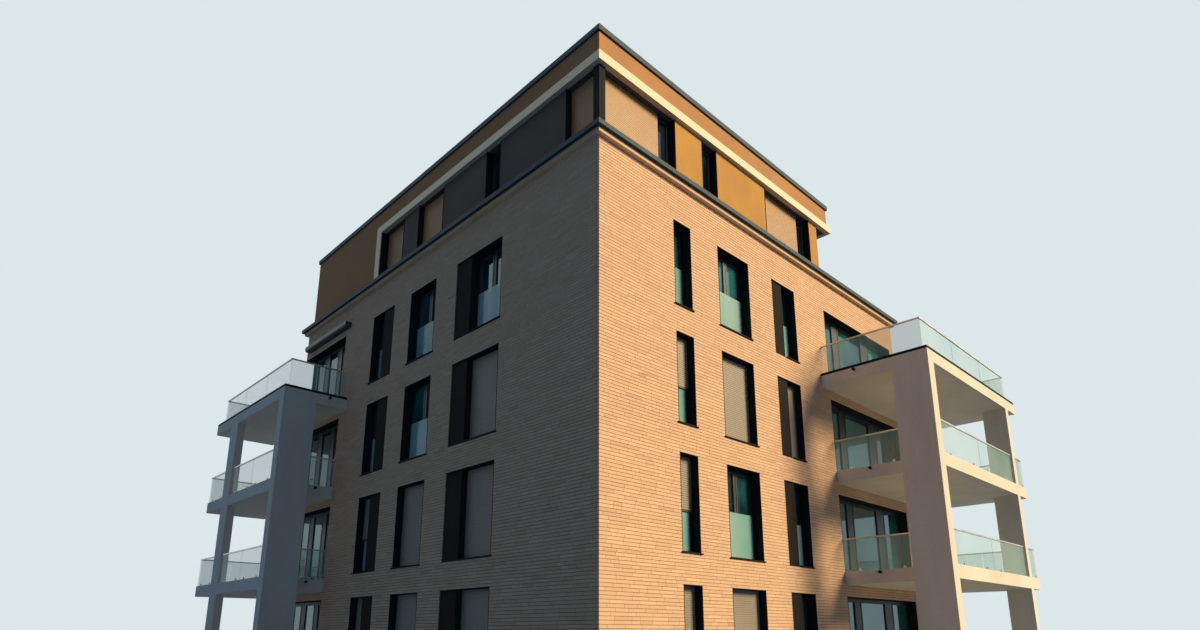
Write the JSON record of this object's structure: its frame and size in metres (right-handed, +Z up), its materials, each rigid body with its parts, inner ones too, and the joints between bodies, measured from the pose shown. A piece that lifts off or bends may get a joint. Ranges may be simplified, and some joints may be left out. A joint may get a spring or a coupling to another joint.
{
  "type": "apartment block",
  "caption": "Brick apartment block with a set-back rendered roof storey, French windows and concrete balcony towers.",
  "frame": {"origin": "middle of the bounding box's ground plan, on the ground", "axes": "+X along the front wall, +Y from the front wall to the back wall, +Z up"},
  "size_m": [18.61, 21.35, 18.25],
  "materials": {
    "brick": "matt long-format clinker brick in thin light joints",
    "concrete": "plain cast concrete",
    "balcony_concrete": "smooth painted concrete",
    "render": "fine matt render",
    "cream_trim": "smooth matt paint",
    "zinc": "folded sheet metal, satin",
    "dark_metal": "powder coat, satin",
    "window_frame": "anthracite, satin",
    "window_glass": "clear insulating glass",
    "rail_glass": "clear laminated glass with a green tint",
    "facing_panel": "flat panel, satin",
    "shutter": "coated slats, satin",
    "handrail": "anodised, satin",
    "roofing": "mineral roof covering",
    "paving": "concrete pavers"
  },
  "bodies": {
    "root": {"ground_slab": "concrete", "floor_slabs": "concrete", "front_wall_bands": "brick", "front_wall_piers": "brick", "left_wall_bands": "brick", "left_wall_piers": "brick", "back_wall_bands": "brick", "back_wall_piers": "brick", "right_wall_bands": "brick", "right_wall_piers": "brick", "cornice_strip": "brick", "parapet_coping": "zinc", "facing_panels": "facing_panel", "window_sills": "dark_metal", "window_linings": "dark_metal", "front_window_frames": "window_frame", "front_window_glass": "window_glass", "left_window_frames": "window_frame", "left_window_glass": "window_glass", "rear_window_frames": "window_frame", "rear_window_glass": "window_glass", "window_balustrades": "rail_glass", "roller_shutters": "shutter", "rear_roller_shutters": "shutter", "corner_posts": "window_frame", "roof_storey_base": "render", "roof_storey_front_wall": "render", "roof_storey_left_wall": "render", "roof_storey_back_wall": "render", "roof_storey_right_wall": "render", "roof_window_frames": "window_frame", "roof_window_glass": "window_glass", "roof_shutters": "shutter", "roof_side_cheek": "render", "roof_slab": "cream_trim", "cream_band": "cream_trim", "roof_fascia": "render", "roof_coping": "dark_metal", "front_balcony_piers": "balcony_concrete", "front_balcony_slabs": "balcony_concrete", "left_balcony_piers": "balcony_concrete", "left_balcony_slabs": "balcony_concrete", "balcony_glass": "rail_glass", "balcony_handrails": "handrail", "terrace_trim": "dark_metal", "overflow_spouts": "dark_metal", "awning_case": "dark_metal", "roof_deck": "roofing", "terrace_paving": "paving"}
  },
  "joints": []
}
